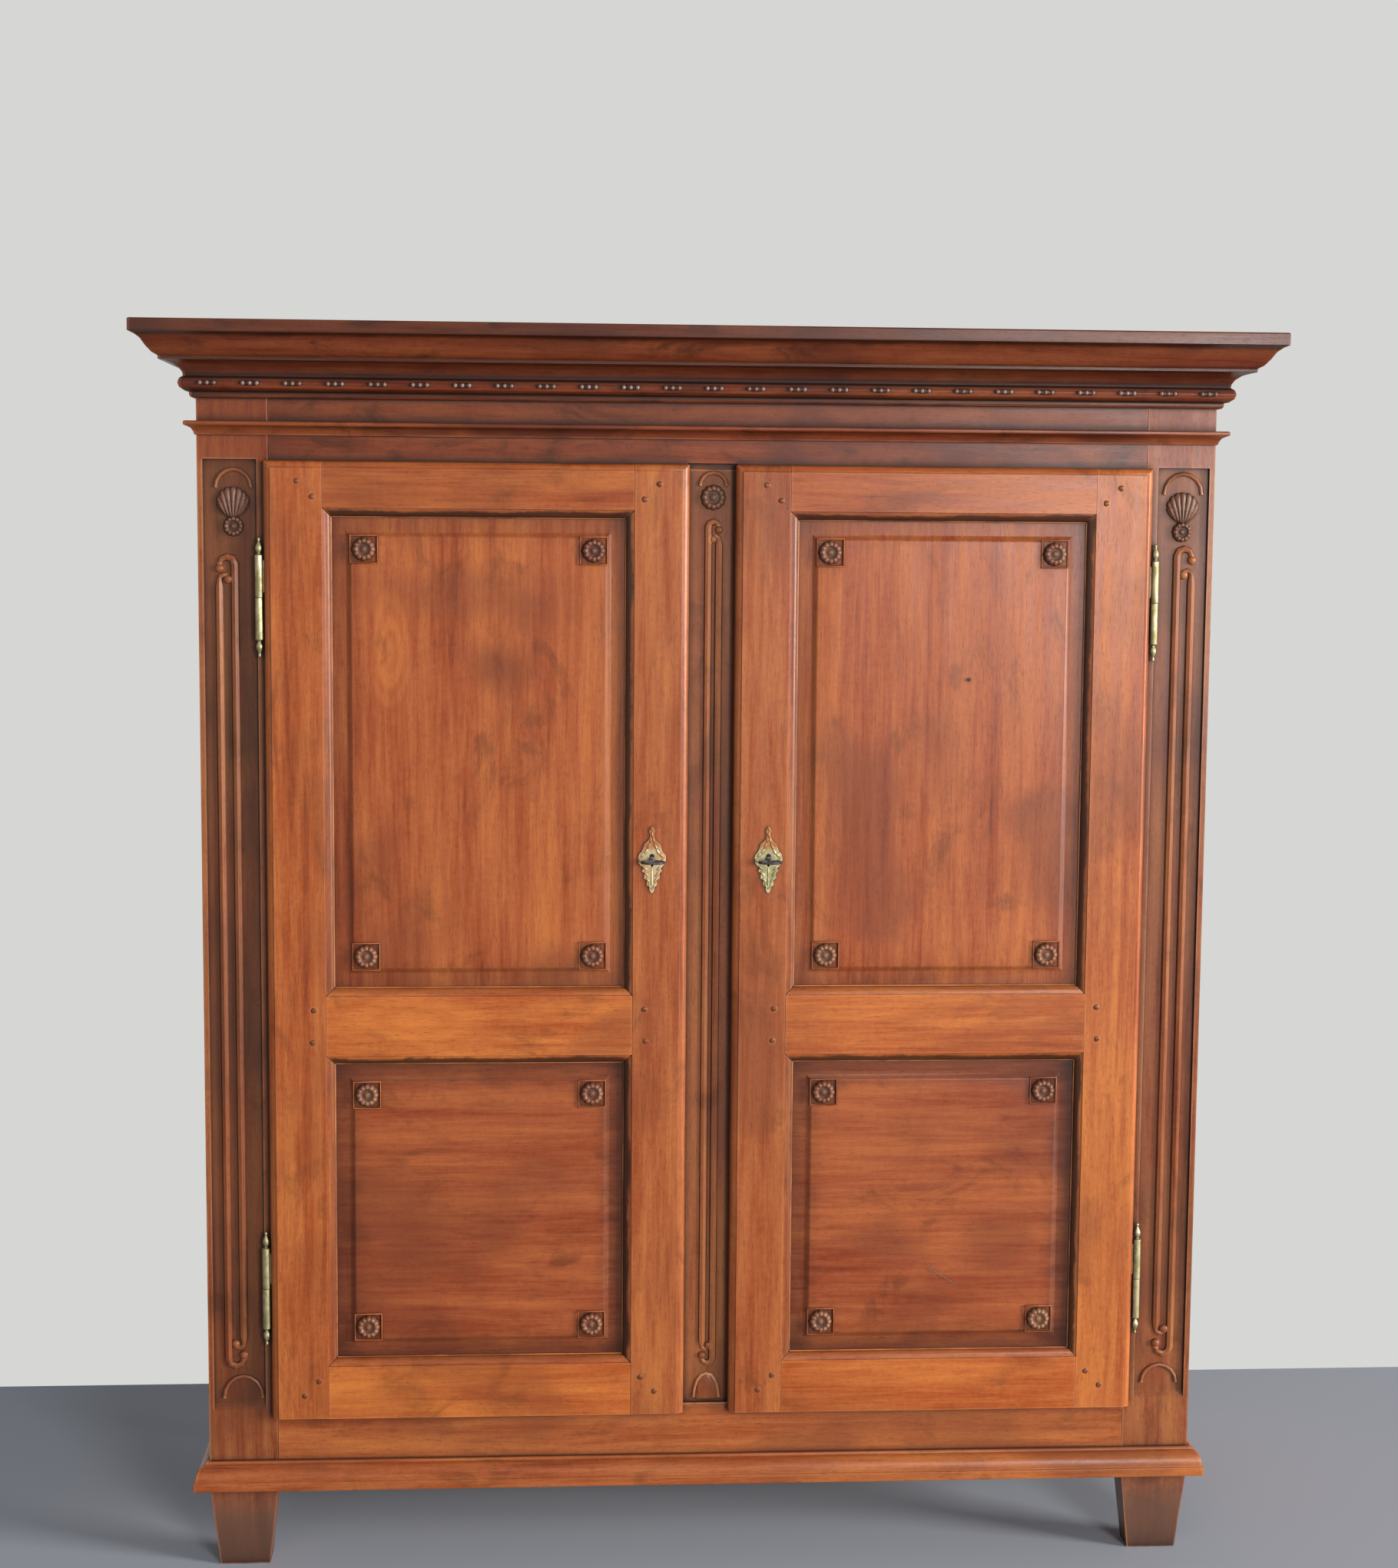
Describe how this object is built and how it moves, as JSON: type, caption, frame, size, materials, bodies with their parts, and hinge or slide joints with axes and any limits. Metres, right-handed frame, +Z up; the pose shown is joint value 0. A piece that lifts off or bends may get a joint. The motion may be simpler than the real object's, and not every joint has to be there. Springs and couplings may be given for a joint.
{
  "type": "two-door panelled cupboard",
  "caption": "Tall wooden cupboard with two hinged panelled doors, rim locks with keys, shelves, carved posts, a moulded cornice and tapered feet.",
  "frame": {"origin": "on the floor, under the middle of the overall box", "axes": "+Z up, -Y the front with the doors, +X to the right seen from the front"},
  "size_m": [1.788, 0.649, 2],
  "materials": {
    "frame_wood": "waxed cherry, upright grain, dark in the recesses",
    "rail_wood": "waxed cherry, level grain, a little lighter",
    "panel_wood": "waxed cherry panels, worn sheen",
    "moulding_wood": "waxed cherry mouldings, dark in the hollows",
    "inner_wood": "plain dull boards",
    "brass": "old brass, dull and worn",
    "lock_steel": "dark old steel"
  },
  "bodies": {
    "case": {"left_front_post": "frame_wood", "right_front_post": "frame_wood", "left_back_post": "frame_wood", "right_back_post": "frame_wood", "centre_post": "frame_wood", "front_top_rail": "rail_wood", "front_bottom_rail": "rail_wood", "back_top_rail": "inner_wood", "back_bottom_rail": "inner_wood", "left_side_top_rail": "frame_wood", "left_side_bottom_rail": "frame_wood", "right_side_top_rail": "frame_wood", "right_side_bottom_rail": "frame_wood", "left_side_panel": "panel_wood", "right_side_panel": "panel_wood", "back_boards": "inner_wood", "top_board": "inner_wood", "bottom_board": "inner_wood", "shelf_1": "inner_wood", "shelf_2": "inner_wood", "shelf_3": "inner_wood", "cornice_front": "moulding_wood", "cornice_left": "moulding_wood", "cornice_right": "moulding_wood", "architrave_front": "moulding_wood", "architrave_left": "moulding_wood", "architrave_right": "moulding_wood", "base_moulding_front": "moulding_wood", "base_moulding_left": "moulding_wood", "base_moulding_right": "moulding_wood", "left_upper_hinge_post_knuckle": "brass", "left_lower_hinge_post_knuckle": "brass", "right_upper_hinge_post_knuckle": "brass", "right_lower_hinge_post_knuckle": "brass"},
    "left_door": {"left_door_hinge_stile": "frame_wood", "left_door_lock_stile": "frame_wood", "left_door_top_rail": "rail_wood", "left_door_middle_rail": "rail_wood", "left_door_bottom_rail": "rail_wood", "left_door_upper_panel": "panel_wood", "left_door_lower_panel": "panel_wood", "left_upper_hinge_door_knuckle": "brass", "left_lower_hinge_door_knuckle": "brass", "left_lock_case": "lock_steel", "left_key_plate": "brass"},
    "right_door": {"right_door_hinge_stile": "frame_wood", "right_door_lock_stile": "frame_wood", "right_door_top_rail": "rail_wood", "right_door_middle_rail": "rail_wood", "right_door_bottom_rail": "rail_wood", "right_door_upper_panel": "panel_wood", "right_door_lower_panel": "panel_wood", "right_upper_hinge_door_knuckle": "brass", "right_lower_hinge_door_knuckle": "brass", "right_lock_case": "lock_steel", "right_key_plate": "brass"},
    "left_key": {"left_key": "lock_steel"},
    "right_key": {"right_key": "lock_steel"},
    "left_bolt": {"left_lock_bolt": "lock_steel"},
    "right_bolt": {"right_lock_bolt": "lock_steel"}
  },
  "joints": [
    {"name": "left_door_hinge", "type": "hinge", "parent": "case", "child": "left_door", "pos_m": [-0.7095, -0.2455, 0], "axis": [0, 0, -1], "range_deg": [0, 170]},
    {"name": "right_door_hinge", "type": "hinge", "parent": "case", "child": "right_door", "pos_m": [0.7095, -0.2455, 0], "axis": [0, 0, 1], "range_deg": [0, 170]},
    {"name": "left_key_turn", "type": "hinge", "parent": "left_door", "child": "left_key", "pos_m": [-0.0931, -0.2555, 1.165], "axis": [0, 1, 0], "range_deg": [0, 360]},
    {"name": "right_key_turn", "type": "hinge", "parent": "right_door", "child": "right_key", "pos_m": [0.0931, -0.2555, 1.165], "axis": [0, -1, 0], "range_deg": [0, 360]},
    {"name": "left_bolt_slide", "type": "slide", "parent": "left_door", "child": "left_bolt", "axis": [1, 0, 0], "range_m": [0, 0.012]},
    {"name": "right_bolt_slide", "type": "slide", "parent": "right_door", "child": "right_bolt", "axis": [-1, 0, 0], "range_m": [0, 0.012]}
  ],
  "couplings": [
    {"joint": "left_key_turn", "follows": "left_bolt_slide", "rad_per_m": 523.5},
    {"joint": "right_key_turn", "follows": "right_bolt_slide", "rad_per_m": 523.5}
  ]
}
